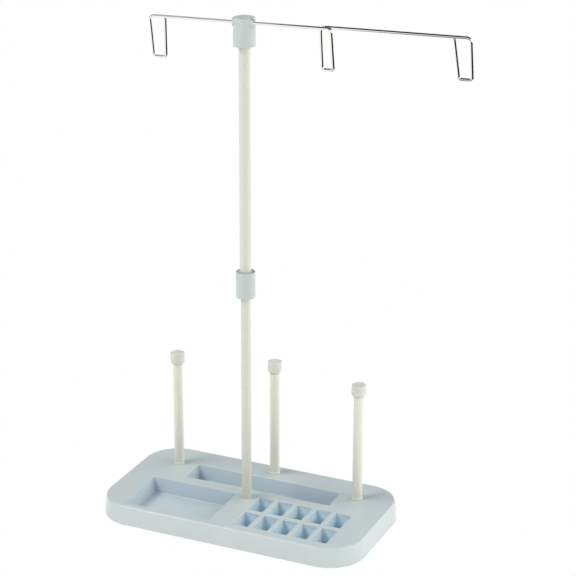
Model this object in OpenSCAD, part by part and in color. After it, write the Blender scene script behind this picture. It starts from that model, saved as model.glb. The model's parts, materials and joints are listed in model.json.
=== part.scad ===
// Three-spool thread stand: a hollow tray with pockets and spool pins,
// a two-stage pole that telescopes and turns, and a bent-wire thread guide.
// Millimetres. Z is up, z = 0 is the table, and the origin is under the
// tray's centre. X runs along the tray and +Y is the side of the middle pin.

/* [Base tray] */
// Length of the tray at its foot
base_l = 300; // [280:1:320]
// Width of the tray at its foot
base_w = 161.5; // [155:0.5:175]
// Height of the tray
base_h = 21.7; // [20:0.1:26]
// Corner radius of the tray at its foot
base_r = 39.5; // [32:0.5:45]
// How far each side leans in from foot to top
base_draft = 1.7; // [1:0.1:3]
// Rounding of the top edge
rim_r = 2.2; // [1:0.1:3]
// Thickness of the moulded walls
wall = 2.2; // [1.8:0.1:2.6]

/* [Pockets] */
// Depth of the two open pockets and the bobbin slots
pocket_depth = 17.2; // [14:0.1:17.5]
// How far the pocket walls lean in from top to floor
pocket_draft = 2; // [1:0.1:2.5]
// Length of the front pocket
front_pocket_l = 101; // [90:1:104]
// Width of the front pocket
front_pocket_w = 69.5; // [60:0.5:72]
// Length of the back pocket
back_pocket_l = 171.5; // [150:0.5:176]
// Width of the back pocket
back_pocket_w = 32.7; // [28:0.1:34]
// Bobbin slot width
slot_w = 17; // [14:0.1:18]
// Bobbin slot length, front to back
slot_l = 30.1; // [26:0.1:31]
// Distance between slots along the tray
slot_pitch = 22.3; // [21:0.1:22.5]
// Distance between the two rows of slots
row_pitch = 36.9; // [35:0.1:38]

/* [Spool pins] */
// Diameter of a spool pin
pin_d = 10.6; // [9:0.1:11]
// Height of the cap's top above the tray
pin_h = 133; // [110:1:150]
// Distance of the side pins from the tray's centre
pin_x = 107.2; // [104:0.1:110]
// Diameter of a pin cap
cap_d = 15.5; // [15.5:0.1:17]
// Height of a pin cap
cap_h = 13.6; // [12:0.1:15]

/* [Pole] */
// Outer diameter of the lower tube
lower_d = 10.4; // [10:0.1:10.6]
// Outer diameter of the upper tube
upper_d = 11.9; // [11.8:0.1:12.4]
// Height of the collar's lower end above the tray
collar_up = 230.4; // [180:1:240]
// Diameter of the collar
collar_d = 20.2; // [20:0.1:23]
// Height of the collar
collar_h = 28.1; // [26:0.1:32]
// Height of the head's lower end above the tray
head_up = 496; // [440:1:510]
// Diameter of the head
head_d = 22.6; // [21:0.1:25]
// Height of the head
head_h = 28.9; // [27:0.1:32]

/* [Thread guide] */
// Diameter of the guide wire
wire_d = 3.3; // [2.5:0.1:3.5]
// Angle between the guide and the tray's long side
guide_turn = 6.5; // [-30:0.5:30]
// How far the loops are rolled back from hanging straight down
guide_lean = 8; // [0:1:20]
// Depth of the three loops
loop_depth = 43; // [30:1:50]
// Reach of the guide on its short side
short_reach = 98; // [60:1:110]
// Reach of the guide on its long side
long_reach = 228.8; // [150:0.1:240]
// Distance of the middle loop from the pole
middle_reach = 84.8; // [50:0.1:110]
// Width of the end loops at the bar
end_loop_w = 16.4; // [12:0.1:20]
// Width of the middle loop
middle_loop_w = 11.4; // [9:0.1:16]

/* [Hidden] */

$fn = 64;
tiny = 0.01;
arc_steps = 6;

// Places on the tray
slot_end_x = 117.1;
slot_x0 = slot_end_x - slot_w / 2 - 4 * slot_pitch;
slot_back_y = 0.3;
slot_r = 0.8;
pocket_r = 2.5;
front_pocket_x = -16 - front_pocket_l / 2;
front_pocket_y = -1.4 - front_pocket_w / 2;
back_pocket_y = 13.2 + back_pocket_w / 2;
pole_x = -2;
pole_y = -5;
side_pin_y = 41.5;
middle_pin_y = 62.9;
pocket_floor = base_h - pocket_depth;
under_floor = pocket_floor - wall;
rib_t = 1.8;
rib_z = 3;

// Rubber pads
pad_x = 129;
pad_y = 60;
pad_d = 14;
pad_h = 2.4;
pad_seat = 1;
post_d = 17;

// Spool pins and caps
pin_bore = 7.4;
pin_socket_z = 6;
pin_flange_d = 12.1;
pin_flange_h = 1.6;
cap_skin = 2.4;
cap_round = 1.4;
cap_bevel_w = 1.9;
cap_bevel_h = 3.8;
cap_dish = 0.5;
boss_t = 2.4;

// Pole
tube_t = 0.65;
upper_tube_t = 0.45;
turn_gap = 0.05;
lower_r = lower_d / 2;
upper_r = upper_d / 2;
pole_seat_z = 7.5;
screw_d = 5;
screw_core_d = 4.2;
screw_head_d = 9;
screw_head_h = 3;
washer_d = 14;
washer_t = 1;
washer_room = 1.2;
screw_floor = 2;
insert_h = 14;
collar_z = base_h + collar_up;
lower_top = collar_z + 40;
plug_flange = 3;
plug_flange_r = upper_r - upper_tube_t - 0.08;
plug_h = 8;
bush_h = 6;
bush_r = 7.6;
collar_shelf = 8;
collar_mouth_r = 9;
collar_mouth = 0.5;
collar_bevel = 0.5;
collar_foot_bevel = 0.8;
head_z = base_h + head_up;
head_socket = 14;
head_cup_r = 7.4;
head_cup = 0.8;
head_top_bevel = 1.4;
head_foot_bevel = 0.6;

// Thread guide, in its own frame: u along the bar, v across it, w up
wire_r = wire_d / 2;
wire_z = head_z + head_h - 4.5;
wire_off = 4.2;
wire_slot = 2.6;
lip_r = 4.1;
lip_proud = 1;
bend_r = 4.6;
foot_bend_r = 2.8;
loop_taper = 3.2;
loop_sway = 1.3;
wire_step = wire_d + 0.2;
end_gap = 0.1;
joint_gap = 0.1;
joint_swell = 0.03;

// A block with four round corners whose sides lean in by lean over its height
module rounded_block(l, w, h, r, lean) {
    for (x = [-1, 1], y = [-1, 1])
        translate([x * (l / 2 - r), y * (w / 2 - r), 0])
            cylinder(h = h, r1 = r, r2 = r - lean);
    rotate([90, 0, 90])
        linear_extrude(l - 2 * r, center = true)
            polygon([[-w / 2, 0], [w / 2, 0], [w / 2 - lean, h], [lean - w / 2, h]]);
    rotate([90, 0, 0])
        linear_extrude(w - 2 * r, center = true)
            polygon([[-l / 2, 0], [l / 2, 0], [l / 2 - lean, h], [lean - l / 2, h]]);
}

// Half of the tray's outline, from its foot up to the rounded top edge.
// half is the distance from the middle line to the foot.
function rim_points(half) = concat(
    [[half, 0]],
    [for (i = [0 : arc_steps])
        let (a = 90 * i / arc_steps)
        [half - base_draft - rim_r * (1 - cos(a)), base_h - rim_r * (1 - sin(a))]]);

function mirrored(points) =
    [for (i = [len(points) - 1 : -1 : 0]) [-points[i][0], points[i][1]]];

module tray_skin() {
    for (x = [-1, 1], y = [-1, 1])
        translate([x * (base_l / 2 - base_r), y * (base_w / 2 - base_r), 0])
            rotate_extrude()
                polygon(concat([[0, 0]], rim_points(base_r), [[0, base_h]]));
    rotate([90, 0, 90])
        linear_extrude(base_l - 2 * base_r, center = true)
            polygon(concat(rim_points(base_w / 2), mirrored(rim_points(base_w / 2))));
    rotate([90, 0, 0])
        linear_extrude(base_w - 2 * base_r, center = true)
            polygon(concat(rim_points(base_l / 2), mirrored(rim_points(base_l / 2))));
}

// The space between the skirt and the top plate
module tray_hollow() {
    translate([0, 0, -tiny])
        rounded_block(base_l - 2 * wall, base_w - 2 * wall, base_h - wall + tiny,
            base_r - wall, base_draft);
}

// A pocket cut from the top, widest at its mouth
module pocket_cut(l, w) {
    translate([0, 0, base_h + tiny])
        mirror([0, 0, 1])
            rounded_block(l, w, pocket_depth + tiny, pocket_r, pocket_draft);
}

module slot_cut() {
    inner_w = slot_w - 2 * slot_r;
    inner_l = slot_l - 2 * slot_r;
    translate([0, 0, pocket_floor])
        linear_extrude(pocket_depth + tiny) {
            square([slot_w, inner_l], center = true);
            square([inner_w, slot_l], center = true);
            for (x = [-1, 1], y = [-1, 1])
                translate([x * inner_w / 2, y * inner_l / 2])
                    circle(slot_r, $fn = 24);
        }
}

// The outside of a pocket, seen from below the tray
module pocket_box(x, y, l, w) {
    translate([x - l / 2 - wall, y - w / 2 - wall, under_floor])
        cube([l + 2 * wall, w + 2 * wall, base_h - wall / 2 - under_floor]);
}

module rib(x1, y1, x2, y2) {
    translate([min(x1, x2) - rib_t / 2, min(y1, y2) - rib_t / 2, rib_z])
        cube([abs(x2 - x1) + rib_t, abs(y2 - y1) + rib_t, base_h - wall / 2 - rib_z]);
}

module at_pins() {
    for (p = [[-pin_x, side_pin_y], [0, middle_pin_y], [pin_x, side_pin_y]])
        translate([p[0], p[1], 0])
            children();
}

module base_tray() {
    inner_x = base_l / 2 - wall;
    inner_y = base_w / 2 - wall;
    slots_x = slot_x0 + 2 * slot_pitch;
    slots_y = slot_back_y - slot_l / 2 - row_pitch / 2;
    slots_w = 4 * slot_pitch + slot_w;
    slots_d = row_pitch + slot_l;
    color("#cfdfe6")
        difference() {
            union() {
                difference() {
                    tray_skin();
                    tray_hollow();
                }
                pocket_box(front_pocket_x, front_pocket_y, front_pocket_l, front_pocket_w);
                pocket_box(0, back_pocket_y, back_pocket_l, back_pocket_w);
                pocket_box(slots_x, slots_y, slots_w, slots_d);
                at_pins()
                    translate([0, 0, pin_socket_z - boss_t])
                        cylinder(h = base_h - wall / 2 - pin_socket_z + boss_t,
                            d = pin_d + 2 * boss_t);
                translate([pole_x, pole_y, pole_seat_z - screw_floor])
                    cylinder(h = base_h - wall / 2 - pole_seat_z + screw_floor,
                        d = lower_d + 3 * boss_t);
                for (x = [-1, 1], y = [-1, 1])
                    translate([x * pad_x, y * pad_y, pad_h - pad_seat])
                        cylinder(h = base_h - wall / 2 - pad_h + pad_seat, d = post_d);
                for (side = [-1, 1]) {
                    rib(side * back_pocket_l / 2, side_pin_y, side * inner_x, side_pin_y);
                    rib(side * pin_x, 0, side * pin_x, side_pin_y);
                    rib(side * slot_end_x, slots_y, side * inner_x, slots_y);
                }
                rib(0, back_pocket_y, 0, inner_y);
                rib(front_pocket_x, front_pocket_y, front_pocket_x, -inner_y);
                rib(slots_x, slots_y, slots_x, -inner_y);
                rib(front_pocket_x, pole_y, slots_x, pole_y);
                rib(pole_x, pole_y, pole_x, back_pocket_y);
            }
            translate([front_pocket_x, front_pocket_y, 0])
                pocket_cut(front_pocket_l, front_pocket_w);
            translate([0, back_pocket_y, 0])
                pocket_cut(back_pocket_l, back_pocket_w);
            for (column = [0 : 4], row = [0, 1])
                translate([slot_x0 + column * slot_pitch,
                        slot_back_y - slot_l / 2 - row * row_pitch, 0])
                    slot_cut();
            at_pins()
                translate([0, 0, pin_socket_z])
                    cylinder(h = base_h, d = pin_d);
            translate([pole_x, pole_y, pole_seat_z])
                cylinder(h = base_h, d = lower_d);
            translate([pole_x, pole_y, 0])
                cylinder(h = base_h, d = screw_d + 0.4);
            translate([pole_x, pole_y, 0])
                cylinder(h = pole_seat_z - screw_floor, d = washer_d + washer_room);
            for (x = [-1, 1], y = [-1, 1])
                translate([x * pad_x, y * pad_y, 0])
                    cylinder(h = pad_h, d = pad_d);
        }
}

module rubber_pad(x, y) {
    color("#3a3d40")
        translate([x * pad_x, y * pad_y, 0])
            cylinder(h = pad_h, d = pad_d);
}

module spool_pin(x, y) {
    top = base_h + pin_h - cap_skin;
    color("#e9e8da")
        translate([x, y, 0])
            difference() {
                union() {
                    translate([0, 0, pin_socket_z])
                        cylinder(h = top - pin_socket_z, d = pin_d);
                    translate([0, 0, base_h])
                        cylinder(h = pin_flange_h, d = pin_flange_d);
                }
                translate([0, 0, pin_socket_z - tiny])
                    cylinder(h = top, d = pin_bore);
            }
}

module pin_cap(x, y) {
    cap_r = cap_d / 2;
    color("#eceee6")
        translate([x, y, base_h + pin_h - cap_h])
            difference() {
                rotate_extrude()
                    polygon(concat(
                        [[0, 0], [cap_r - cap_bevel_w, 0], [cap_r, cap_bevel_h]],
                        [for (i = [0 : arc_steps])
                            let (a = 90 * i / arc_steps)
                            [cap_r - cap_round * (1 - cos(a)), cap_h - cap_round * (1 - sin(a))]],
                        [[cap_r - 2 * cap_round, cap_h - cap_dish], [0, cap_h - cap_dish]]));
                translate([0, 0, -tiny])
                    cylinder(h = cap_h - cap_skin + tiny, d = pin_d);
            }
}

module pole_screw() {
    head_top = pole_seat_z - screw_floor - washer_t;
    color("#c4c8cb")
        translate([pole_x, pole_y, 0])
            difference() {
                union() {
                    translate([0, 0, head_top - screw_head_h])
                        cylinder(h = screw_head_h, d = screw_head_d);
                    translate([0, 0, head_top])
                        cylinder(h = washer_t + screw_floor + insert_h - 4, d = screw_core_d);
                }
                for (a = [0, 90])
                    translate([0, 0, head_top - screw_head_h])
                        rotate([0, 0, a])
                            cube([5, 1, 3], center = true);
            }
}

module pole_washer() {
    color("#b8bcc0")
        translate([pole_x, pole_y, pole_seat_z - screw_floor - washer_t])
            difference() {
                cylinder(h = washer_t, d = washer_d);
                translate([0, 0, -tiny])
                    cylinder(h = 2 * washer_t, d = screw_d + 0.4);
            }
}

module pole_foot_insert() {
    color("#8f949a")
        translate([pole_x, pole_y, pole_seat_z])
            difference() {
                cylinder(h = insert_h, r = lower_r - tube_t);
                translate([0, 0, -tiny])
                    cylinder(h = insert_h + 1, d = screw_core_d);
            }
}

module lower_tube() {
    color("#e9e8da")
        translate([pole_x, pole_y, pole_seat_z])
            difference() {
                cylinder(h = lower_top - pole_seat_z, r = lower_r);
                translate([0, 0, -tiny])
                    cylinder(h = lower_top, r = lower_r - tube_t);
            }
}

module lower_tube_plug() {
    color("#dcdfe0")
        translate([pole_x, pole_y, lower_top]) {
            cylinder(h = plug_flange, r = plug_flange_r);
            translate([0, 0, -plug_h])
                cylinder(h = plug_h, r = lower_r - tube_t);
        }
}

module collar() {
    r = collar_d / 2;
    color("#b9cbc9")
        translate([pole_x, pole_y, collar_z])
            difference() {
                rotate_extrude()
                    polygon([[0, 0], [r - collar_foot_bevel, 0], [r, collar_foot_bevel],
                        [r, collar_h - collar_bevel], [r - collar_bevel, collar_h],
                        [0, collar_h]]);
                translate([0, 0, -tiny])
                    cylinder(h = bush_h + tiny, r = bush_r);
                cylinder(h = collar_h, r = upper_r - upper_tube_t);
                translate([0, 0, collar_shelf])
                    cylinder(h = collar_h, r = upper_r + turn_gap);
                translate([0, 0, collar_h - collar_mouth])
                    cylinder(h = collar_h, r = collar_mouth_r);
            }
}

module grip_bush() {
    color("#6d7376")
        translate([pole_x, pole_y, collar_z])
            difference() {
                cylinder(h = bush_h, r = bush_r);
                translate([0, 0, -tiny])
                    cylinder(h = 2 * bush_h, r = lower_r + turn_gap);
            }
}

module upper_tube() {
    start = collar_z + collar_shelf;
    color("#e9e8da")
        translate([pole_x, pole_y, start])
            difference() {
                cylinder(h = head_z + head_socket - start, r = upper_r);
                translate([0, 0, -tiny])
                    cylinder(h = head_z, r = upper_r - upper_tube_t);
            }
}

// Puts its children in the guide's frame: X along the bar, Z up, the origin
// on the bar beside the pole
module in_guide_frame() {
    translate([pole_x, pole_y, wire_z])
        rotate([0, 0, guide_turn])
            translate([0, -wire_off, 0])
                children();
}

module guide_head() {
    r = head_d / 2;
    color("#b9cbc9")
        difference() {
            union() {
                translate([pole_x, pole_y, head_z])
                    rotate_extrude()
                        polygon([[0, 0], [r - head_foot_bevel, 0], [r, head_foot_bevel],
                            [r, head_h - head_top_bevel], [r - head_top_bevel, head_h],
                            [0, head_h]]);
                intersection() {
                    translate([pole_x, pole_y, head_z])
                        cylinder(h = head_h - head_top_bevel, r = r + lip_proud);
                    in_guide_frame()
                        rotate([0, 90, 0])
                            cylinder(h = 4 * r, r = lip_r, center = true);
                }
            }
            translate([pole_x, pole_y, head_z - tiny])
                cylinder(h = head_socket + tiny, r = upper_r);
            translate([pole_x, pole_y, head_z + head_h - head_cup])
                cylinder(h = head_h, r = head_cup_r);
            in_guide_frame()
                rotate([0, 90, 0])
                    cylinder(h = 4 * r, r = wire_r + turn_gap, center = true);
            in_guide_frame()
                translate([-2 * r, -wire_slot / 2, 0])
                    cube([4 * r, wire_slot, head_h]);
        }
}

// A round wire through the given points, with a bend at each inner point: a
// tight one at the foot of a loop, a wider one beside the bar
function unit(v) = v / norm(v);
function radius_at(p, i) = p[i][2] < -loop_depth / 2 ? foot_bend_r : bend_r;
function bend_angle(p, i) = acos(unit(p[i] - p[i - 1]) * unit(p[i + 1] - p[i]));
function bend_setback(p, i) =
    i == 0 || i == len(p) - 1 ? 0 : radius_at(p, i) * tan(bend_angle(p, i) / 2);

module wire_piece(from, to) {
    d = to - from;
    length = norm(d);
    translate(from)
        rotate([0, acos(d[2] / length), atan2(d[1], d[0])])
            cylinder(h = length, r = wire_r, $fn = 32);
}

module wire_bend(p, i) {
    ahead = unit(p[i] - p[i - 1]);
    turned = unit(p[i + 1] - p[i]);
    inward = unit(turned - ahead * (ahead * turned));
    side = cross(-inward, ahead);
    centre = p[i] - ahead * bend_setback(p, i) + inward * radius_at(p, i);
    multmatrix([[-inward[0], ahead[0], side[0], centre[0]],
            [-inward[1], ahead[1], side[1], centre[1]],
            [-inward[2], ahead[2], side[2], centre[2]],
            [0, 0, 0, 1]])
        rotate_extrude(angle = bend_angle(p, i), $fn = 64)
            translate([radius_at(p, i), 0])
                circle(wire_r, $fn = 32);
}

// Straight pieces stop just short of the bends, and a ball fills each joint
module bent_wire(p) {
    last = len(p) - 1;
    for (i = [1 : last]) {
        d = unit(p[i] - p[i - 1]);
        start = p[i - 1] + d * (bend_setback(p, i - 1) + (i == 1 ? 0 : joint_gap));
        end = p[i] - d * (bend_setback(p, i) + (i == last ? 0 : joint_gap));
        wire_piece(start, end);
        if (i > 1)
            translate(start)
                sphere(wire_r + joint_swell, $fn = 32);
        if (i < last)
            translate(end)
                sphere(wire_r + joint_swell, $fn = 32);
    }
    for (i = [1 : last - 1])
        wire_bend(p, i);
}

module thread_guide() {
    low = -loop_depth;
    in_left = end_loop_w - short_reach;
    in_right = long_reach - end_loop_w;
    mid_left = middle_reach - middle_loop_w / 2;
    mid_right = middle_reach + middle_loop_w / 2;
    points = [
        [in_left, 0, -wire_r - end_gap],
        [in_left - loop_taper + loop_sway, 0, low],
        [loop_sway - short_reach, 0, low],
        [-short_reach, 0, 0],
        [mid_right, 0, 0],
        [mid_right + loop_sway, 0, low],
        [mid_left + loop_sway, 0, low],
        [mid_left, wire_step, 0],
        [long_reach, wire_step, 0],
        [long_reach + loop_sway, wire_step, low],
        [in_right + loop_taper + loop_sway, wire_step, low],
        [in_right, wire_step, -wire_r - end_gap]];
    color("#c9cccf")
        in_guide_frame()
            rotate([guide_lean, 0, 0])
                bent_wire(points);
}

base_tray();
rubber_pad(-1, -1);  // rubber_pad_front_left
rubber_pad(1, -1);  // rubber_pad_front_right
rubber_pad(-1, 1);  // rubber_pad_back_left
rubber_pad(1, 1);  // rubber_pad_back_right
spool_pin(-pin_x, side_pin_y);  // spool_pin_left
spool_pin(0, middle_pin_y);  // spool_pin_middle
spool_pin(pin_x, side_pin_y);  // spool_pin_right
pin_cap(-pin_x, side_pin_y);  // pin_cap_left
pin_cap(0, middle_pin_y);  // pin_cap_middle
pin_cap(pin_x, side_pin_y);  // pin_cap_right
pole_screw();
pole_washer();
pole_foot_insert();
lower_tube();
lower_tube_plug();
collar();
grip_bush();
upper_tube();
guide_head();
thread_guide();
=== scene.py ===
"""Looks of the three-spool thread stand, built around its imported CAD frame.

Each piece stands for one CAD node. Its place and its outer size are read from the frame.
What the frame does not say is a named size, in millimetres, at the head of its section.
The pads and the hardware inside are the CAD's own meshes with materials.
"""

import json
import math

import bmesh
import bpy
from mathutils import Matrix, Vector
from mathutils.geometry import delaunay_2d_cdt


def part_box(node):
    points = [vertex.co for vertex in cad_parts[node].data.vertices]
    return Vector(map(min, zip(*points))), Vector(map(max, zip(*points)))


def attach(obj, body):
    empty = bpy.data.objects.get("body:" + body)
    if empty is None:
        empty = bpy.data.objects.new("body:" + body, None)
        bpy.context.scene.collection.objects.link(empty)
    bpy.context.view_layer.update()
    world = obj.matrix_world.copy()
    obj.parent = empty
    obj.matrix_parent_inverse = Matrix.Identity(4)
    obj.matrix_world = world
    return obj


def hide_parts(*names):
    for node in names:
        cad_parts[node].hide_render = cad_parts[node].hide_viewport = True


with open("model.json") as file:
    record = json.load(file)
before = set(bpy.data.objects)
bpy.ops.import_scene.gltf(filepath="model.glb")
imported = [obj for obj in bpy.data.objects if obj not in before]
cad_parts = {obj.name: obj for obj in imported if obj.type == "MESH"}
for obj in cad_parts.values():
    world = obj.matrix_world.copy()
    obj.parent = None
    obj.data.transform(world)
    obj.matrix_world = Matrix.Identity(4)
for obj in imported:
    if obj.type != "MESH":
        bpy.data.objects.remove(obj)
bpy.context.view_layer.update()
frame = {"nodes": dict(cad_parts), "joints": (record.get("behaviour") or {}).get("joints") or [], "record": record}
scene = bpy.context.scene

# Pieces are written in millimetres and scaled as their meshes are made.
MM = 0.001
UP = Vector((0, 0, 1))
SIDES = ("left", "middle", "right")


def box_mm(node):
    """The low and high corners of a CAD node's box, in millimetres."""
    low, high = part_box(node)
    return Vector(low) / MM, Vector(high) / MM


def middle_of(node):
    """The middle of a CAD node, seen from above."""
    low, high = box_mm(node)
    return (low.x + high.x) / 2, (low.y + high.y) / 2


def radius_of(node):
    """Half of a round CAD node's width."""
    low, high = box_mm(node)
    return (high.x - low.x) / 2


# ---------------------------------------------------------------- mesh code

TURN_STEPS = 96


def raw_object(name, verts, faces):
    """An object from points in millimetres, with its doubles joined and its normals out."""
    mesh = bpy.data.meshes.new(name)
    mesh.from_pydata([Vector(v) * MM for v in verts], [], faces)
    mesh.validate()
    bm = bmesh.new()
    bm.from_mesh(mesh)
    bmesh.ops.remove_doubles(bm, verts=bm.verts, dist=1e-6)
    bmesh.ops.recalc_face_normals(bm, faces=bm.faces)
    bm.to_mesh(mesh)
    bm.free()
    obj = bpy.data.objects.new(name, mesh)
    scene.collection.objects.link(obj)
    return obj


def smooth(obj, sharp):
    """Smooth shading whose edges over the given angle stay sharp."""
    mesh = obj.data
    mesh.polygons.foreach_set("use_smooth", [True] * len(mesh.polygons))
    mesh.set_sharp_from_angle(angle=math.radians(sharp))
    weighted = obj.modifiers.new("even_shading", "WEIGHTED_NORMAL")
    weighted.keep_sharp = True
    weighted.weight = 50
    return obj


def combine(body, other, operation):
    """Joins another closed mesh to the body, or cuts it away, and drops it."""
    step = body.modifiers.new(operation.lower(), "BOOLEAN")
    step.operation = operation
    step.solver = "EXACT"
    step.object = other
    shape = body.evaluated_get(bpy.context.evaluated_depsgraph_get())
    mesh = bpy.data.meshes.new_from_object(shape)
    body.modifiers.remove(step)
    body.data = mesh
    bpy.data.objects.remove(other)


def soften_edges(obj, width, over):
    """Rounds every edge sharper than the given angle."""
    bm = bmesh.new()
    bm.from_mesh(obj.data)
    bmesh.ops.remove_doubles(bm, verts=bm.verts, dist=2e-6)
    limit = math.radians(over)
    bmesh.ops.bevel(
        bm,
        geom=[e for e in bm.edges if len(e.link_faces) == 2 and e.calc_face_angle() > limit],
        offset=width * MM,
        offset_type="OFFSET",
        segments=3,
        profile=0.5,
        affect="EDGES",
        clamp_overlap=True,
    )
    bm.to_mesh(obj.data)
    bm.free()


def round_corners(points, radii, steps=5):
    """An open outline with an arc of its own radius at each inner point."""
    out = [Vector(points[0])]
    for i in range(1, len(points) - 1):
        corner = Vector(points[i])
        before = (Vector(points[i - 1]) - corner).normalized()
        after = (Vector(points[i + 1]) - corner).normalized()
        radius = radii[i]
        half = before.angle(after) / 2
        if radius <= 0 or half > math.radians(89.5):
            out.append(corner)
            continue
        setback = radius / math.tan(half)
        centre = corner + (before + after).normalized() * (radius / math.sin(half))
        start = corner + before * setback - centre
        end = corner + after * setback - centre
        for k in range(steps + 1):
            out.append(centre + start.slerp(end, k / steps) * radius)
    out.append(Vector(points[-1]))
    return out


def lathe_faces(outline, centre):
    """Points and faces of a closed solid turned about Z from (radius, z, rounding) corners."""
    corners = [(radius, z, 0) for radius, z, _ in outline]
    profile = round_corners(corners, [rounding for _, _, rounding in outline])
    verts, faces, rings = [], [], []
    for point in profile:
        radius, z = point.x, point.y
        if radius < 1e-4:
            rings.append([len(verts)] * TURN_STEPS)
            verts.append((centre[0], centre[1], z))
            continue
        rings.append(list(range(len(verts), len(verts) + TURN_STEPS)))
        for k in range(TURN_STEPS):
            a = 2 * math.pi * k / TURN_STEPS
            x, y = radius * math.cos(a), radius * math.sin(a)
            verts.append((centre[0] + x, centre[1] + y, z))
    pairs = list(zip(rings, rings[1:]))
    if profile[0].x > 1e-4 and profile[-1].x > 1e-4:
        pairs.append((rings[-1], rings[0]))
    for low, high in pairs:
        for k in range(TURN_STEPS):
            n = (k + 1) % TURN_STEPS
            quad = [low[k], low[n], high[n], high[k]]
            face = [v for i, v in enumerate(quad) if v not in quad[:i]]
            if len(face) > 2:
                faces.append(face)
    return verts, faces


def lathe(name, outline, centre):
    return smooth(raw_object(name, *lathe_faces(outline, centre)), 35)


def circle_points(centre, side, other, radius, segments):
    """Points around a centre, in the plane of two directions."""
    turns = [2 * math.pi * k / segments for k in range(segments)]
    return [centre + (side * math.cos(a) + other * math.sin(a)) * radius for a in turns]


def skin_between(low, high):
    """The faces between two rings of as many points."""
    count = len(low)
    pairs = [(k, (k + 1) % count) for k in range(count)]
    return [[low[k], low[n], high[n], high[k]] for k, n in pairs]


def rod(name, start, end, radius, segments=64):
    """A plain closed cylinder between two points, used only as a cutter."""
    start, end = Vector(start), Vector(end)
    axis = (end - start).normalized()
    side = axis.orthogonal().normalized()
    other = axis.cross(side)
    verts = circle_points(start, side, other, radius, segments)
    verts += circle_points(end, side, other, radius, segments)
    low, high = list(range(segments)), list(range(segments, 2 * segments))
    return raw_object(name, verts, [low[::-1], high] + skin_between(low, high))


def rounded_loop(cx, cy, length, width, radius, z, steps):
    """A rectangle with round corners as a loop of points at height z."""
    radius = max(radius, 0.01)
    loop = []
    for quarter, (sx, sy) in enumerate(((1, 1), (-1, 1), (-1, -1), (1, -1))):
        ox = cx + sx * (length / 2 - radius)
        oy = cy + sy * (width / 2 - radius)
        for k in range(steps + 1):
            a = math.radians(90 * quarter + 90 * k / steps)
            loop.append((ox + radius * math.cos(a), oy + radius * math.sin(a), z))
    return loop


def circle(x, y, radius, z):
    return rounded_loop(x, y, 2 * radius, 2 * radius, radius, z, 12)


def is_inside(point, loop):
    """Whether a point lies inside a closed outline, both seen from above."""
    inside = False
    for a, b in zip(loop, loop[1:] + loop[:1]):
        if (a[1] > point.y) != (b[1] > point.y):
            x = a[0] + (point.y - a[1]) / (b[1] - a[1]) * (b[0] - a[0])
            if x > point.x:
                inside = not inside
    return inside


class Shell:
    """Collects lofted loops and flat faces with holes for one mesh."""

    def __init__(self):
        self.verts = []
        self.faces = []

    def add_loop(self, loop):
        start = len(self.verts)
        self.verts.extend(loop)
        return list(range(start, len(self.verts)))

    def loft(self, loops):
        rings = [self.add_loop(loop) for loop in loops]
        for low, high in zip(rings, rings[1:]):
            self.faces.extend(skin_between(low, high))

    def cap(self, loop):
        self.faces.append(self.add_loop(loop))

    def plate(self, outer, holes, z):
        """The flat face between an outer loop and the loops of its holes."""
        points, edges = [], []
        for loop in [outer] + holes:
            first = len(points)
            points.extend(Vector(p[:2]) for p in loop)
            count = len(loop)
            edges.extend((first + k, first + (k + 1) % count) for k in range(count))
        co, _, faces, _, _, _ = delaunay_2d_cdt(points, edges, [], 1, 1e-6)
        first = len(self.verts)
        self.verts.extend((p[0], p[1], z) for p in co)
        for face in faces:
            middle = sum((co[i] for i in face), Vector((0, 0))) / len(face)
            if not any(is_inside(middle, hole) for hole in holes):
                self.faces.append([first + i for i in face])


def tube(name, points, radius, segments=24):
    """A round wire along the points, with softened ends."""
    tangents = []
    for i in range(len(points)):
        before, after = points[max(i - 1, 0)], points[min(i + 1, len(points) - 1)]
        tangents.append((after - before).normalized())
    side = tangents[0].orthogonal().normalized()
    verts, rings = [], []

    def ring(centre, tangent, size):
        """Adds a ring whose first point turns as little as the wire lets it."""
        nonlocal side
        side = (side - tangent * side.dot(tangent)).normalized()
        rings.append(list(range(len(verts), len(verts) + segments)))
        verts.extend(circle_points(centre, side, tangent.cross(side), size, segments))

    soft = 0.25 * radius
    turns = [math.radians(90 * k / 4) for k in range(4)]
    ends = [(soft * (1 - math.cos(a)), radius - soft * (1 - math.sin(a))) for a in turns]
    for inset, size in ends:
        ring(points[0] + tangents[0] * inset, tangents[0], size)
    for point, tangent in list(zip(points, tangents))[1:-1]:
        ring(point, tangent, radius)
    for inset, size in ends[::-1]:
        ring(points[-1] - tangents[-1] * inset, tangents[-1], size)
    faces = [rings[0][::-1], rings[-1]]
    for low, high in zip(rings, rings[1:]):
        faces.extend(skin_between(low, high))
    return smooth(raw_object(name, verts, faces), 50)


# ---------------------------------------------------------------- sizes of the tray

# Outside and wall
CORNER = 39.5
DRAFT = 1.7
RIM = 2.2
WALL = 2.2
FOOT_EASE = 0.35
# The soft corner inside, under the plate, as insets and drops
INSIDE_CORNER = ((0, 0.8), (0.25, 0.2), (0.8, 0))

# Pockets
LIP = 0.7
POCKET_DEPTH = 17.2
POCKET_DRAFT = 2.0
POCKET_CORNER = 2.5
POCKET_FLOOR_R = 0.8
FRONT_POCKET = (101, 69.5)
FRONT_POCKET_RIGHT_X = -16
FRONT_POCKET_BACK_Y = -1.4
BACK_POCKET = (171.5, 32.7)
BACK_POCKET_FRONT_Y = 13.2

# Bobbin slots, as deep as the pockets
SLOT = (17, 30.1)
SLOT_DRAFT = 0.3
SLOT_CORNER = 0.8
SLOT_FLOOR_R = 0.6
SLOT_PITCH = 22.3
SLOT_ROW_PITCH = 36.9
SLOT_COLUMNS = 5
SLOT_ROWS = 2
SLOTS_RIGHT_X = 117.1
SLOTS_BACK_Y = 0.3

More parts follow.
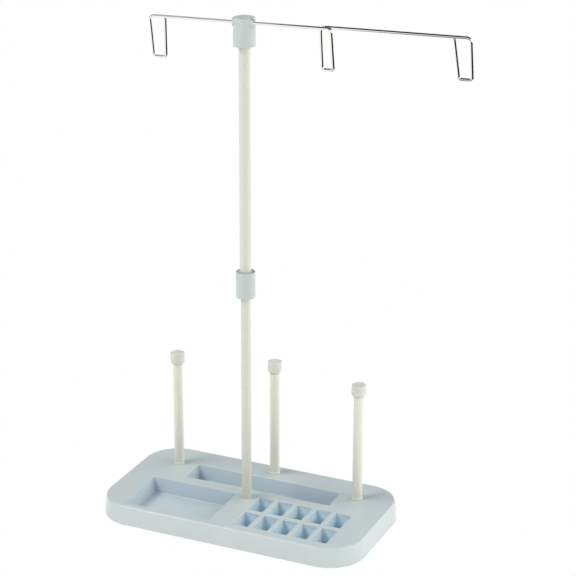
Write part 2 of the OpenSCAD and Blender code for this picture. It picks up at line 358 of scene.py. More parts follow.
# Cups, bosses, posts and ribs underneath
CUP_CORNER = 2
BOSS_WALL = 2.4
BOSS_EASE = 0.4
PIN_R = 5.3
PIN_SOCKET_FOOT = 3.6
POLE_SEAT_FOOT = 5.5
POST_R = 8.5
PAD_SEAT = 1.0
PAD_GAP = 0.05
RIB_T = 1.8
RIB_FOOT = 3.0
RIB_EASE = 0.3
LET_IN = 0.5

tray_low, tray_high = box_mm("base_tray")
FOOT_L = tray_high.x - tray_low.x
FOOT_W = tray_high.y - tray_low.y
TOP = tray_high.z
FLOOR = TOP - POCKET_DEPTH
PLATE_UNDER = TOP - WALL
CUP_UNDER = FLOOR - WALL

pin_places = [middle_of(f"spool_pin_{side}") for side in SIDES]
pole = middle_of("lower_tube")
lower_r = radius_of("lower_tube")
upper_r = radius_of("upper_tube")
POLE_BOSS_R = lower_r + 1.5 * BOSS_WALL

# The middles of the two pockets, and the block that all slots make together
FRONT_POCKET_AT = (
    FRONT_POCKET_RIGHT_X - FRONT_POCKET[0] / 2,
    FRONT_POCKET_BACK_Y - FRONT_POCKET[1] / 2,
)
BACK_POCKET_AT = (0, BACK_POCKET_FRONT_Y + BACK_POCKET[1] / 2)
SLOTS = (
    (SLOT_COLUMNS - 1) * SLOT_PITCH + SLOT[0],
    (SLOT_ROWS - 1) * SLOT_ROW_PITCH + SLOT[1],
)
SLOTS_AT = (SLOTS_RIGHT_X - SLOTS[0] / 2, SLOTS_BACK_Y - SLOTS[1] / 2)

# All pockets and slots lie inside this box
HOLLOWS_X = 120
HOLLOWS_BACK_Y = 48
HOLLOWS_FRONT_Y = -74


# ---------------------------------------------------------------- materials

# Painted bounce light: how much bluer and lighter the walls of the tray's hollows are painted,
# and how much of that its level faces get
POCKET_PAINTED_LIGHT = (1.09, 1.165, 1.28)
SLOT_PAINTED_LIGHT = (1.38, 1.45, 1.45)
PAINTED_LEVEL_SHARE = 0.4


class Nodes:
    """Short calls for building one material's node tree. Scales are per metre."""

    def __init__(self, name):
        self.material = bpy.data.materials.new(name)
        self.material.use_nodes = True
        self.tree = self.material.node_tree
        self.shader = self.tree.nodes["Principled BSDF"]
        self.place = self.add("ShaderNodeTexCoord").outputs["Object"]

    def add(self, kind, **values):
        node = self.tree.nodes.new(kind)
        for key, value in values.items():
            setattr(node, key, value)
        return node

    def link(self, a, b):
        self.tree.links.new(a, b)

    def drive(self, socket, value):
        """Links a value to one of the shader's sockets."""
        self.link(value, self.shader.inputs[socket])

    def fix(self, socket, value):
        """Sets one of the shader's sockets to a value that is the same all over."""
        self.shader.inputs[socket].default_value = value

    def noise(self, scale, detail=3, rough=0.5, stretch=None):
        node = self.add("ShaderNodeTexNoise")
        node.inputs["Scale"].default_value = scale
        node.inputs["Detail"].default_value = detail
        node.inputs["Roughness"].default_value = rough
        place = self.place
        if stretch:
            mapping = self.add("ShaderNodeMapping")
            mapping.inputs["Scale"].default_value = stretch
            self.link(place, mapping.inputs["Vector"])
            place = mapping.outputs["Vector"]
        self.link(place, node.inputs["Vector"])
        return node.outputs["Fac"]

    def ramp(self, value, low, high, start=0.3, end=0.7):
        node = self.add("ShaderNodeMapRange")
        node.inputs["From Min"].default_value = start
        node.inputs["From Max"].default_value = end
        node.inputs["To Min"].default_value = low
        node.inputs["To Max"].default_value = high
        self.link(value, node.inputs["Value"])
        return node.outputs["Result"]

    def mix(self, factor, a, b):
        node = self.add("ShaderNodeMix", data_type="RGBA")
        self.link(factor, node.inputs["Factor"])
        node.inputs["A"].default_value = (*a, 1)
        node.inputs["B"].default_value = (*b, 1)
        return node.outputs["Result"]

    def multiplied(self, tint, factor, mask):
        """A colour that is multiplied by a factor where the mask is 1."""
        node = self.add("ShaderNodeMix", data_type="RGBA", blend_type="MULTIPLY")
        self.link(mask, node.inputs["Factor"])
        self.link(tint, node.inputs["A"])
        node.inputs["B"].default_value = (*factor, 1)
        return node.outputs["Result"]

    def product(self, *values):
        """The product of several 0 to 1 values."""
        result = values[0]
        for value in values[1:]:
            node = self.add("ShaderNodeMath", operation="MULTIPLY")
            self.link(result, node.inputs[0])
            self.link(value, node.inputs[1])
            result = node.outputs[0]
        return result

    def bump(self, height, distance, strength, below=None):
        node = self.add("ShaderNodeBump")
        node.inputs["Distance"].default_value = distance
        node.inputs["Strength"].default_value = strength
        self.link(height, node.inputs["Height"])
        if below is not None:
            self.link(below, node.inputs["Normal"])
        return node.outputs["Normal"]


def shade(colour, factor):
    return tuple(min(1, c * factor) for c in colour)


def plastic(name, colour, rough, shine=0.4, grain=1.0, walls=None):
    """Injection-moulded plastic: fine eroded texture, faint flow clouds and wear. Given walls, it also paints
    bounce light, bluer and lighter, on the walls of the tray's hollows.
    """
    n = Nodes(name)
    clouds = n.noise(22, 4, 0.55)
    wear = n.noise(160, 5, 0.6)
    erosion = n.noise(2600, 2, 0.6)
    waves = n.noise(55, 2)
    tint = n.mix(n.ramp(clouds, 0, 1), shade(colour, 0.98), shade(colour, 1.02))
    # With walls, the colour gets painted bounce light inside the tray's hollows
    n.drive("Base Color", painted_hollow_light(n, tint, *walls) if walls else tint)
    n.drive("Roughness", n.ramp(wear, rough - 0.05 * grain, rough + 0.05 * grain))
    fine = n.bump(erosion, 0.00003 * grain, 0.5)
    n.drive("Normal", n.bump(waves, 0.00012 * grain, 0.3, fine))
    n.fix("Specular IOR Level", shine)
    return n.material


def painted_hollow_light(n, tint, factor, deep_factor):
    """Painted bounce light: bluer and lighter walls inside the hollows, most of all deep in the slots.

    It is there to match the photo, and goes by place and facing, not by the camera.
    """
    place = n.add("ShaderNodeSeparateXYZ")
    n.link(n.place, place.inputs["Vector"])
    x, y, z = (place.outputs[axis] for axis in "XYZ")
    facing = n.add("ShaderNodeSeparateXYZ")
    n.link(n.add("ShaderNodeNewGeometry").outputs["True Normal"], facing.inputs["Vector"])
    flat = n.add("ShaderNodeMath", operation="ABSOLUTE")
    n.link(facing.outputs["Z"], flat.inputs[0])

    def past(value, edge, full):
        """0 before an edge and 1 from a second place on, both in millimetres."""
        return n.ramp(value, 0, 1, edge * MM, full * MM)

    # Where the painted bounce light goes: the walls of the hollows, less on their level faces
    walls = n.product(
        n.ramp(flat.outputs[0], 1, PAINTED_LEVEL_SHARE),
        past(z, TOP, TOP - 2 * LIP),
        past(x, HOLLOWS_X, HOLLOWS_X - 1),
        past(x, -HOLLOWS_X, 1 - HOLLOWS_X),
        past(y, HOLLOWS_BACK_Y, HOLLOWS_BACK_Y - 1),
        past(y, HOLLOWS_FRONT_Y, HOLLOWS_FRONT_Y + 1),
    )
    # Deep in the slots the painted bounce light is stronger
    slots = n.product(
        walls,
        past(z, TOP, TOP - POCKET_DEPTH / 2),
        past(x, 0, BOSS_WALL),
        past(y, SLOT[0] / 4, SLOTS_BACK_Y),
    )
    return n.multiplied(n.multiplied(tint, factor, walls), deep_factor, slots)


def coated_tube(name, colour):
    """Smooth ivory coating over steel tube, with faint drawn lines along it."""
    n = Nodes(name)
    lines = n.noise(700, 3, 0.5, stretch=(1, 1, 0.02))
    clouds = n.noise(14)
    tint = n.mix(n.ramp(clouds, 0, 1), shade(colour, 0.98), shade(colour, 1.02))
    n.drive("Base Color", tint)
    n.drive("Roughness", n.ramp(lines, 0.3, 0.42))
    n.drive("Normal", n.bump(lines, 0.000004, 0.35))
    n.fix("Specular IOR Level", 0.4)
    n.fix("Coat Weight", 0.05)
    n.fix("Coat Roughness", 0.2)
    return n.material


def metal(name, colour, rough):
    """Bare or plated metal with fine marks."""
    n = Nodes(name)
    marks = n.noise(900, 4, 0.6)
    clouds = n.noise(60)
    n.fix("Metallic", 1.0)
    n.drive("Base Color", n.mix(n.ramp(clouds, 0, 1), shade(colour, 0.94), colour))
    n.drive("Roughness", n.ramp(marks, rough * 0.7, rough * 1.4))
    n.drive("Normal", n.bump(marks, 0.00002, 0.4))
    return n.material


def rubber(name, colour):
    """Dusty matt rubber."""
    n = Nodes(name)
    dust, wear, pores = n.noise(180, 4), n.noise(400), n.noise(1500, 2)
    n.drive("Base Color", n.mix(n.ramp(dust, 0, 1), colour, shade(colour, 1.5)))
    n.drive("Roughness", n.ramp(wear, 0.7, 0.85))
    n.drive("Normal", n.bump(pores, 0.00006, 0.6))
    return n.material


# The colours of the parts that the photo shows were matched to it under this studio's light
SLOT_MATERIALS = {
    "tray_plastic": plastic(
        "tray_plastic",
        (0.370, 0.412, 0.409),
        rough=0.3,
        shine=0.45,
        grain=0.1,
        # Painted bounce light on the walls of the pockets and slots
        walls=(POCKET_PAINTED_LIGHT, SLOT_PAINTED_LIGHT),
    ),
    "pad_rubber": rubber("pad_rubber", (0.04, 0.04, 0.045)),
    "pin_plastic": plastic("pin_plastic", (0.511, 0.513, 0.438), 0.45, shine=0.3, grain=0.2),
    "cap_plastic": plastic("cap_plastic", (0.448, 0.453, 0.393), 0.45, shine=0.3, grain=0.2),
    "screw_steel": metal("zinc", (0.62, 0.63, 0.64), 0.32),
    "insert_metal": metal("turned_metal", (0.58, 0.59, 0.60), 0.38),
    "tube_paint": coated_tube("tube_coat", (0.435, 0.443, 0.377)),
    "plug_plastic": plastic("nylon", (0.70, 0.71, 0.70), 0.45),
    "fitting_plastic": plastic("fitting_plastic", (0.342, 0.383, 0.366), 0.36, grain=0.2),
    "bush_plastic": plastic("acetal", (0.06, 0.065, 0.07), 0.4),
    "guide_wire": metal("chrome", (0.91, 0.91, 0.885), 0.05),
}

for part in frame["record"]["subparts"]:
    node_obj = frame["nodes"][part["node"]]
    material = SLOT_MATERIALS[part["material_slot"]]
    if not node_obj.material_slots:
        node_obj.data.materials.append(material)
    for slot in node_obj.material_slots:
        slot.material = material


def dress(obj, body, slot, node):
    """Gives a piece its material and body, and hides the CAD node it stands for."""
    obj.data.materials.clear()
    obj.data.materials.append(SLOT_MATERIALS[slot])
    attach(obj, body)
    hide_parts(node)


# ---------------------------------------------------------------- the tray


def tray_loop(inset, z):
    return rounded_loop(0, 0, FOOT_L - 2 * inset, FOOT_W - 2 * inset, CORNER - inset, z, 24)


def add_skin(shell):
    """The skirt's foot and outside, up to the round rim. Returns the top's outline."""
    rim_base = TOP - RIM
    skin = [
        tray_loop(WALL, 0),
        tray_loop(WALL / 2, 0),
        tray_loop(FOOT_EASE, 0),
        tray_loop(0, FOOT_EASE),
        tray_loop(DRAFT * rim_base / TOP, rim_base),
    ]
    rim_steps = 10
    for k in range(1, rim_steps + 1):
        a = math.radians(90 * k / rim_steps)
        skin.append(tray_loop(DRAFT + RIM * (1 - math.cos(a)), TOP - RIM * (1 - math.sin(a))))
    shell.loft(skin)
    return skin[-1]


def hollow(shell, x, y, size, corner, draft, floor_r):
    """A pocket or slot with a soft lip and a soft floor edge. Returns its mouth."""
    steps = 5
    turns = [math.radians(90 * k / steps) for k in range(steps + 1)]
    levels = [(LIP * (1 - math.sin(a)), TOP - LIP * (1 - math.cos(a))) for a in turns]
    for a in turns:
        rise = floor_r * (1 - math.sin(a))
        inset = draft * (POCKET_DEPTH - rise) / POCKET_DEPTH + floor_r * (1 - math.cos(a))
        levels.append((-inset, FLOOR + rise))
    loops = []
    for grow, z in levels:
        length, width = size[0] + 2 * grow, size[1] + 2 * grow
        loops.append(rounded_loop(x, y, length, width, max(corner + grow, 0.2), z, 6))
    shell.loft(loops)
    shell.cap(loops[-1])
    return loops[0]


def add_hollows(shell):
    """The two pockets and all slots. Returns the outlines of their mouths."""
    pocket = (POCKET_CORNER, POCKET_DRAFT, POCKET_FLOOR_R)
    mouths = [
        hollow(shell, *FRONT_POCKET_AT, FRONT_POCKET, *pocket),
        hollow(shell, *BACK_POCKET_AT, BACK_POCKET, *pocket),
    ]
    for column in range(SLOT_COLUMNS):
        for row in range(SLOT_ROWS):
            x = SLOTS_RIGHT_X - SLOT[0] / 2 - column * SLOT_PITCH
            y = SLOTS_BACK_Y - SLOT[1] / 2 - row * SLOT_ROW_PITCH
            mouths.append(hollow(shell, x, y, SLOT, SLOT_CORNER, SLOT_DRAFT, SLOT_FLOOR_R))
    return mouths


def add_inside(shell):
    """The skirt's inside, up to the plate. Returns the outline of the plate's underside."""
    lean = DRAFT * PLATE_UNDER / TOP
    inside = [tray_loop(WALL, 0)]
    for inset, drop in INSIDE_CORNER:
        inside.append(tray_loop(WALL + lean + inset, PLATE_UNDER - drop))
    shell.loft(inside)
    return inside[-1]


def boss(shell, outline, low):
    """A closed lump that hangs from the plate's underside. Returns its outline."""
    foot = outline(BOSS_EASE, low)
    shell.loft([outline(0, PLATE_UNDER), outline(0, low + BOSS_EASE), foot])
    shell.cap(foot)
    return outline(0, PLATE_UNDER)


def cup(shell, at, size):
    """The walls and the floor around a hollow, seen from below."""
    length, width = size[0] + 2 * WALL, size[1] + 2 * WALL
    return boss(
        shell,
        lambda e, z: rounded_loop(*at, length - 2 * e, width - 2 * e, CUP_CORNER - e, z, 6),
        CUP_UNDER,
    )


def round_boss(shell, at, radius, low):
    return boss(shell, lambda e, z: circle(*at, radius - e, z), low)


def pad_post(shell, pad):
    """A post with the seat that a rubber pad is let into. Returns its outline."""
    x, y = middle_of(pad)
    seat = box_mm(pad)[1].z
    foot = seat - PAD_SEAT
    pad_r = radius_of(pad) + PAD_GAP
    shell.loft(
        [circle(x, y, POST_R, PLATE_UNDER), circle(x, y, POST_R, foot), circle(x, y, pad_r, foot)]
    )
    shell.loft([circle(x, y, pad_r, foot), circle(x, y, pad_r, seat)])
    shell.cap(circle(x, y, pad_r, seat))
    return circle(x, y, POST_R, PLATE_UNDER)


def add_lumps(shell):
    """Everything round or cupped that hangs from the plate. Returns the outlines."""
    lumps = [
        cup(shell, FRONT_POCKET_AT, FRONT_POCKET),
        cup(shell, BACK_POCKET_AT, BACK_POCKET),
        cup(shell, SLOTS_AT, SLOTS),
        round_boss(shell, pole, POLE_BOSS_R, POLE_SEAT_FOOT),
    ]
    for at in pin_places:
        lumps.append(round_boss(shell, at, PIN_R + BOSS_WALL, PIN_SOCKET_FOOT))
    for end in ("front_left", "front_right", "back_left", "back_right"):
        lumps.append(pad_post(shell, f"rubber_pad_{end}"))
    return lumps


def rib(shell, x1, y1, x2, y2):
    """A closed strip under the plate whose ends are let into its neighbours."""
    middle = ((x1 + x2) / 2, (y1 + y2) / 2)
    length, width = max(abs(x2 - x1), RIB_T), max(abs(y2 - y1), RIB_T)
    levels = ((0, PLATE_UNDER + WALL / 3), (0, RIB_FOOT + RIB_EASE), (RIB_EASE, RIB_FOOT))
    loops = [
        rounded_loop(*middle, length - 2 * e, width - 2 * e, RIB_EASE, z, 3) for e, z in levels
    ]
    shell.cap(loops[0][::-1])
    shell.loft(loops)
    shell.cap(loops[-1])


def rib_ends(at, size):
    """The low and high corners inside a cup's walls where its ribs end."""
    half = Vector(size) / 2 + Vector((WALL - LET_IN, WALL - LET_IN))
    return Vector(at) - half, Vector(at) + half


def add_ribs(shell):
    """Ribs from cup to boss and from both to the skirt."""
    skirt_x = FOOT_L / 2 - WALL - DRAFT + LET_IN
    skirt_y = FOOT_W / 2 - WALL - DRAFT + LET_IN
    front_low, front_high = rib_ends(FRONT_POCKET_AT, FRONT_POCKET)
    back_low, back_high = rib_ends(BACK_POCKET_AT, BACK_POCKET)
    slots_low, slots_high = rib_ends(SLOTS_AT, SLOTS)
    reach = PIN_R + BOSS_WALL - LET_IN
    left, middle, right = pin_places
    for (x, y), side, cup_in_front in ((left, -1, front_high.y), (right, 1, slots_high.y)):
        rib(shell, side * back_high.x, y, x - side * reach, y)
        rib(shell, x + side * reach, y, side * skirt_x, y)
        rib(shell, x, cup_in_front, x, y - reach)
    rib(shell, slots_high.x, SLOTS_AT[1], skirt_x, SLOTS_AT[1])
    rib(shell, front_low.x, SLOTS_AT[1], -skirt_x, SLOTS_AT[1])
    rib(shell, middle[0], back_high.y, middle[0], middle[1] - reach)
    rib(shell, middle[0], middle[1] + reach, middle[0], skirt_y)
    rib(shell, FRONT_POCKET_AT[0], front_low.y, FRONT_POCKET_AT[0], -skirt_y)
    rib(shell, SLOTS_AT[0], slots_low.y, SLOTS_AT[0], -skirt_y)
    pole_reach = POLE_BOSS_R - LET_IN
    rib(shell, front_high.x, pole[1], pole[0] - pole_reach, pole[1])
    rib(shell, pole[0] + pole_reach, pole[1], slots_low.x, pole[1])
    rib(shell, pole[0], pole[1] + pole_reach, pole[0], back_low.y)


def build_tray():
    shell = Shell()
    top_edge = add_skin(shell)
    shell.plate(top_edge, add_hollows(shell), TOP)
    under_edge = add_inside(shell)
    shell.plate(under_edge, add_lumps(shell), PLATE_UNDER)
    add_ribs(shell)
    return smooth(raw_object("tray", shell.verts, shell.faces), 32)


dress(build_tray(), "base", "tray_plastic", "base_tray")


# ---------------------------------------------------------------- spool pins and caps

PIN_BORE_R = 3.7
PIN_TAPER = 0.1
SHOULDER_H = 1.6
SHOULDER_SLOPE = 0.3
CAP_SKIN = 2.4
CAP_BEVEL = (2.2, 3.0)
CAP_LEAN = 0.15
CAP_ROUND = 0.9
CAP_RIM = (1.8 * CAP_ROUND, 2.2 * CAP_ROUND)
CAP_DISH = 0.5


def build_pin(side):
    node = f"spool_pin_{side}"
    low, high = box_mm(node)
    shoulder = radius_of(node)
    step = TOP + SHOULDER_H
    outline = [
        (PIN_BORE_R, low.z, 0),
        (PIN_R, low.z, 0.3),
        (PIN_R, TOP, 0),
        (shoulder, TOP, 0),
        (shoulder, step, 0.45),
        (PIN_R, step + SHOULDER_SLOPE, 0.5),
        (PIN_R - PIN_TAPER, high.z, 0.3),
        (PIN_BORE_R, high.z, 0),
    ]
    dress(lathe(f"pin_{side}", outline, middle_of(node)), "base", "pin_plastic", node)


def build_cap(side):
    node = f"pin_cap_{side}"
    low, high = box_mm(node)
    radius = radius_of(node)
    crest = radius - CAP_LEAN
    bore = PIN_R - PIN_TAPER / 2
    ceiling = high.z - CAP_SKIN
    outline = [
        (0, ceiling, 0),
        (bore, ceiling, 0),
        (bore, low.z, 0.1),
        (radius - CAP_BEVEL[0], low.z, 0.2),
        (radius, low.z + CAP_BEVEL[1], 0.8),
        (crest, high.z, CAP_ROUND),
        (crest - CAP_RIM[0], high.z, 0.3),
        (crest - CAP_RIM[1], high.z - CAP_DISH, 0.3),
        (0, high.z - CAP_DISH, 0),
    ]
    dress(lathe(f"cap_{side}", outline, middle_of(node)), "base", "cap_plastic", node)


for side in SIDES:
    build_pin(side)
    build_cap(side)


# ---------------------------------------------------------------- pole

LOWER_WALL = 0.65
UPPER_WALL = 0.45
TURN_GAP = 0.05
BUSH_R = 7.6
BUSH_H = 6.0
SHELF = 8.0
MOUTH_R = 9.0
MOUTH_DEPTH = 0.5


def build_pole_tube(name, node, body, wall, top_soft):
    low, high = box_mm(node)
    radius = radius_of(node)
    outline = [
        (radius - wall, low.z, 0),
        (radius, low.z, 0.15),
        (radius, high.z, top_soft),
        (radius - wall, high.z, 0),
    ]
    dress(lathe(name, outline, pole), body, "tube_paint", node)


def build_sleeve():
    """The collar: a bush in its foot, a shelf under the upper tube and a shallow mouth."""
    low, high = box_mm("collar")
    radius = radius_of("collar")
    socket_r = upper_r + TURN_GAP
    shelf_r = upper_r - UPPER_WALL
    outline = [
        (BUSH_R, low.z, 0),
        (radius, low.z, 0.9),
        (radius, high.z, 0.5),
        (MOUTH_R, high.z, 0.25),
        (MOUTH_R, high.z - MOUTH_DEPTH, 0.2),
        (socket_r, high.z - MOUTH_DEPTH, 0.2),
        (socket_r, low.z + SHELF, 0),
        (shelf_r, low.z + SHELF, 0),
        (shelf_r, low.z + BUSH_H, 0),
        (BUSH_R, low.z + BUSH_H, 0),
    ]
    dress(lathe("sleeve", outline, pole), "slider", "fitting_plastic", "collar")


build_pole_tube("lower_pole", "lower_tube", "base", LOWER_WALL, 0.2)
build_pole_tube("upper_pole", "upper_tube", "upper", UPPER_WALL, 0.15)
build_sleeve()


# ---------------------------------------------------------------- the guide's head

WIRE_R = 1.65
HEAD_SOCKET = 14
HEAD_CUP = 0.8
HEAD_CUP_R = 7.4
HEAD_ROUND = 1.5
HEAD_SOFT = 0.22
SLIT_W = 2.6
LIP_R = 4.1
LIP_PROUD = 1.0
LIP_FOOT = 1
CUT_PAST = 5
SKIM = 0.02

# The wire turns about the bar's axis, which the frame's joint gives
roll = next(j for j in frame["joints"] if j["name"] == "guide_roll")
along = Vector(roll["axis"]).normalized()
bar = Vector(roll["pos_m"]) / MM
across = UP.cross(along).normalized()


def pole_rod(name, low, high, radius):
    """An upright cutter on the pole's axis."""
    return rod(name, (*pole, low), (*pole, high), radius, TURN_STEPS)


def slit_cutter(reach):
    """A flat upright block over the bar's axis."""
    corners = ((-reach, -1), (reach, -1), (reach, 1), (-reach, 1))
    foot = [bar + along * u + across * (v * SLIT_W / 2) for u, v in corners]
    top = [p + UP * 3 * LIP_R for p in foot]
    slit = Shell()
    slit.loft([foot, top])
    slit.cap(foot[::-1])
    slit.cap(top)
    return raw_object("slit", slit.verts, slit.faces)


def build_head():
    """A turned head with two lips for the wire, its bore and the slit above it."""
    low, high = box_mm("guide_head")
    radius = (high.y - low.y) / 2
    reach = 2 * radius
    cup_floor = high.z - HEAD_CUP
    outline = [
        (0, low.z, 0),
        (radius, low.z, 0.6),
        (radius, high.z, HEAD_ROUND),
        (HEAD_CUP_R, high.z, 0.4),
        (HEAD_CUP_R, cup_floor, 0.3),
        (0, cup_floor, 0),
    ]
    head = raw_object("head", *lathe_faces(outline, pole))
    lip = rod("lip", bar - along * reach, bar + along * reach, LIP_R)
    trim = pole_rod("trim", low.z + LIP_FOOT, high.z - HEAD_ROUND, radius + LIP_PROUD)
    combine(lip, trim, "INTERSECT")
    combine(head, lip, "UNION")
    cutters = (
        pole_rod("cup", cup_floor + SKIM, high.z + CUT_PAST, HEAD_CUP_R - SKIM),
        pole_rod("socket", low.z - CUT_PAST, low.z + HEAD_SOCKET, upper_r),
        rod("bore", bar - along * reach, bar + along * reach, WIRE_R + TURN_GAP, 48),
        slit_cutter(reach),
    )
    for cutter in cutters:
        combine(head, cutter, "DIFFERENCE")
    soften_edges(head, HEAD_SOFT, 42)
    return smooth(head, 35)


dress(build_head(), "upper", "fitting_plastic", "guide_head")


# ---------------------------------------------------------------- the thread guide

LEAN = math.radians(8)
LOOP_DEPTH = 43
LOOP_TAPER = 3.2
LOOP_SWAY = 1.3
LEFT_REACH = 98
RIGHT_REACH = 228.8
END_LOOP_W = 16.4
MIDDLE_REACH = 84.8
MIDDLE_LOOP_W = 11.4
WIRE_STEP = 2 * WIRE_R + 0.2
WIRE_END = -WIRE_R - 0.1
BAR_BEND = 4.6
FOOT_BEND = 2.8


def build_guide():
    """One wire from its left end, round the left loop, the middle one and the right one.

    Its corners are written along the bar, behind the bar and up from it.
    """
    upward = UP * math.cos(LEAN) - across * math.sin(LEAN)
    behind = across * math.cos(LEAN) + UP * math.sin(LEAN)
    low = -LOOP_DEPTH
    left_end = END_LOOP_W - LEFT_REACH
    right_end = RIGHT_REACH - END_LOOP_W
    middle_left = MIDDLE_REACH - MIDDLE_LOOP_W / 2
    middle_right = MIDDLE_REACH + MIDDLE_LOOP_W / 2
    corners = [
        (left_end, 0, WIRE_END),
        (left_end - LOOP_TAPER + LOOP_SWAY, 0, low),
        (LOOP_SWAY - LEFT_REACH, 0, low),
        (-LEFT_REACH, 0, 0),
        (middle_right, 0, 0),
        (middle_right + LOOP_SWAY, 0, low),
        (middle_left + LOOP_SWAY, 0, low),
        (middle_left, WIRE_STEP, 0),
        (RIGHT_REACH, WIRE_STEP, 0),
        (RIGHT_REACH + LOOP_SWAY, WIRE_STEP, low),
        (right_end + LOOP_TAPER + LOOP_SWAY, WIRE_STEP, low),
        (right_end, WIRE_STEP, WIRE_END),
    ]
    bends = [FOOT_BEND if w == low else BAR_BEND for _, _, w in corners]
    placed = [bar + along * u + behind * v + upward * w for u, v, w in corners]
    return tube("wire", round_corners(placed, bends, steps=10), WIRE_R)


dress(build_guide(), "guide", "guide_wire", "thread_guide")


# ---------------------------------------------------------------- camera

# The studio is written in metres. The camera was solved from the tray's outline.
CAMERA_AZ = math.radians(24.286)
CAMERA_EL = math.radians(20.531)
CAMERA_ROLL = math.radians(0.143)
CAMERA_PLACE = (0.8342, -1.7518, 0.98708)
LENS = 125
SENSOR_W = 36
FARTHEST_SEEN = 50

front_dir = Vector((math.sin(CAMERA_AZ), -math.cos(CAMERA_AZ), 0))
right_dir = Vector((math.cos(CAMERA_AZ), math.sin(CAMERA_AZ), 0))
camera_back = front_dir * math.cos(CAMERA_EL) + UP * math.sin(CAMERA_EL)
camera_up = camera_back.cross(right_dir)
c, s = math.cos(CAMERA_ROLL), math.sin(CAMERA_ROLL)
camera_turn = Matrix(
    (right_dir * c + camera_up * s, camera_up * c - right_dir * s, camera_back)
).transposed()

camera_data = bpy.data.cameras.new("camera")
camera_data.lens = LENS
camera_data.sensor_width = SENSOR_W
camera_data.clip_end = FARTHEST_SEEN
camera = bpy.data.objects.new("camera", camera_data)
scene.collection.objects.link(camera)
camera.matrix_world = Matrix.Translation(CAMERA_PLACE) @ camera_turn.to_4x4()
scene.camera = camera


# ---------------------------------------------------------------- studio surfaces

WHITE = (1, 1, 1)
BLACK = (0, 0, 0)
SWEEP_HALF = 6
SWEEP_DROP = 0.0004
BACKDROP_R = 5.9
BACKDROP_FOOT = -0.01
BACKDROP_TOP = 6.0
FLOOR_COLOUR = (0.9, 0.89, 0.86)
FLOOR_GLOW = (1.03, 1, 0.94)
FLOOR_LIGHT = 0.47
FLAG_COLOUR = (0.01, 0.01, 0.01)

# What only the chrome and the glossy highlights see: dark flags in front of the stand, to
# its right and over its right half, and a grey ceiling. Each has its X and Y ranges, its
# height and its brightness.
MIRROR_SHEETS = {
    "front_flag": ((-0.04, 2.6), (-1.9, -0.28), 0.002, 0.0),
    "right_flag": ((0.8, 3.0), (-0.28, 0.5), 0.002, 0.0),
    "top_flag": ((-0.2, 1.5), (-1.8, 0.6), 1.3, 0.0),
    "ceiling": ((-4.0, 4.0), (-4.0, 4.0), 2.5, 0.42),
}


def sheet(name, verts, faces, colour, glow, emission, *seen_by):
    """A studio surface that only the named kinds of ray can see."""
    mesh = bpy.data.meshes.new(name)
    mesh.from_pydata(verts, [], faces)
    obj = bpy.data.objects.new(name, mesh)
    scene.collection.objects.link(obj)
    n = Nodes(name + "_paper")
    n.drive("Base Color", n.mix(n.ramp(n.noise(3, 2), 0, 1), shade(colour, 0.98), colour))
    n.fix("Roughness", 0.9)
    n.fix("Specular IOR Level", 0.0)
    n.fix("Emission Color", (*glow, 1))
    n.fix("Emission Strength", emission)
    obj.data.materials.append(n.material)
    obj.visible_camera = "camera" in seen_by
    obj.visible_diffuse = "light" in seen_by
    obj.visible_shadow = "light" in seen_by
    obj.visible_glossy = "mirror" in seen_by


def level(x_range, y_range, z):
    """The points and the face of a level rectangle."""
    (x1, x2), (y1, y2) = x_range, y_range
    return [(x1, y1, z), (x2, y1, z), (x2, y2, z), (x1, y2, z)], [(0, 1, 2, 3)]


def round_wall(radius, low, high, segments=64):
    """The points and faces of a round upright wall."""
    verts = []
    for z in (low, high):
        centre = Vector((0, 0, z))
        verts += circle_points(centre, Vector((1, 0, 0)), Vector((0, 1, 0)), radius, segments)
    low_ring, high_ring = list(range(segments)), list(range(segments, 2 * segments))
    return verts, skin_between(low_ring, high_ring)


# The white that is seen under the stand, and the warmer floor that gives its bounced light
whole = (-SWEEP_HALF, SWEEP_HALF)
sheet("sweep", *level(whole, whole, -SWEEP_DROP), BLACK, WHITE, 1.0, "camera", "mirror")
sheet("floor", *level(whole, whole, 0), FLOOR_COLOUR, FLOOR_GLOW, FLOOR_LIGHT, "light")

# The white behind the stand, for low views
wall = round_wall(BACKDROP_R, BACKDROP_FOOT, BACKDROP_TOP)
sheet("backdrop", *wall, BLACK, WHITE, 1.0, "camera")

for name, (x_range, y_range, z, brightness) in MIRROR_SHEETS.items():
    sheet(name, *level(x_range, y_range, z), FLAG_COLOUR, WHITE, brightness, "mirror")


# ---------------------------------------------------------------- light

COOL = (0.84, 0.98, 1.22)
WARM = (1.04, 1.0, 0.93)
LAMP_TARGET = Vector((0, 0, 0.2))

world = bpy.data.worlds.new("studio")
scene.world = world
world.use_nodes = True
sky = world.node_tree
sky_direction = sky.nodes.new("ShaderNodeTexCoord").outputs["Generated"]


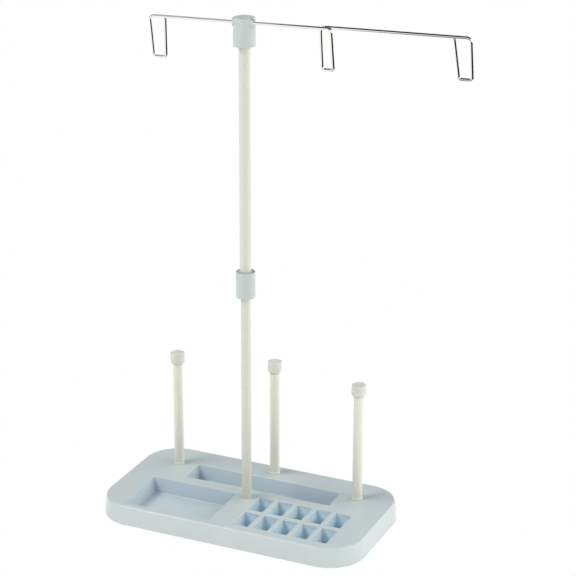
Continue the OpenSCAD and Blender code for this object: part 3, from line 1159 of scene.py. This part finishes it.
def vector_maths(operation, a, b):
    node = sky.nodes.new("ShaderNodeVectorMath")
    node.operation = operation
    for socket, value in zip(node.inputs, (a, b)):
        if isinstance(value, bpy.types.NodeSocket):
            sky.links.new(value, socket)
        else:
            socket.default_value = value
    return node


def band(toward, start, end):
    """How far a direction of the sky points toward a side, from 0 to 1."""
    dot = vector_maths("DOT_PRODUCT", sky_direction, toward)
    edge = sky.nodes.new("ShaderNodeMapRange")
    edge.interpolation_type = "SMOOTHSTEP"
    edge.inputs["From Min"].default_value = start
    edge.inputs["From Max"].default_value = end
    sky.links.new(dot.outputs["Value"], edge.inputs["Value"])
    return edge.outputs["Result"]


def both(a, b):
    return vector_maths("MULTIPLY", a, b).outputs[0]


overhead = band(UP, 0.4, 0.95)
in_front = band(front_dir, 0.05, 0.6)
on_the_right = band(right_dir, 0.2, 0.9)
on_the_left = band(-right_dir, 0.2, 0.9)
low_down = band(-UP, -0.45, -0.15)

# Cool light from all round, from overhead and from the front, and warm light from both
# sides and from low in front
SKY_PARTS = [
    (0.26, COOL, None),
    (0.30, COOL, overhead),
    (0.17, COOL, in_front),
    (2.49, WARM, on_the_right),
    (0.16, WARM, on_the_left),
    (0.60, WARM, both(in_front, low_down)),
]
glow = BLACK
for amount, tint, part in SKY_PARTS:
    colour = Vector(tint) * amount
    if part is not None:
        colour = both(part, colour)
    glow = vector_maths("ADD", glow, colour).outputs[0]
sky.links.new(glow, sky.nodes["Background"].inputs["Color"])


def softbox(name, place, size, power):
    """A rectangular lamp that looks at the stand's lower half."""
    data = bpy.data.lights.new(name, "AREA")
    data.shape = "RECTANGLE"
    data.size, data.size_y = size
    data.energy = power
    data.color = WARM
    lamp = bpy.data.objects.new(name, data)
    lamp.location = place
    aim = LAMP_TARGET - Vector(place)
    lamp.rotation_euler = aim.to_track_quat("-Z", "Y").to_euler()
    scene.collection.objects.link(lamp)


softbox("key", place=(-2.24, -1.6, 3.08), size=(2.24, 1.6), power=128)
softbox("fill", place=(2.0, -0.6, 1.4), size=(1.4, 1.2), power=3.3)

# The photo's background is pure white, and this transform keeps it so
scene.view_settings.view_transform = "Standard"
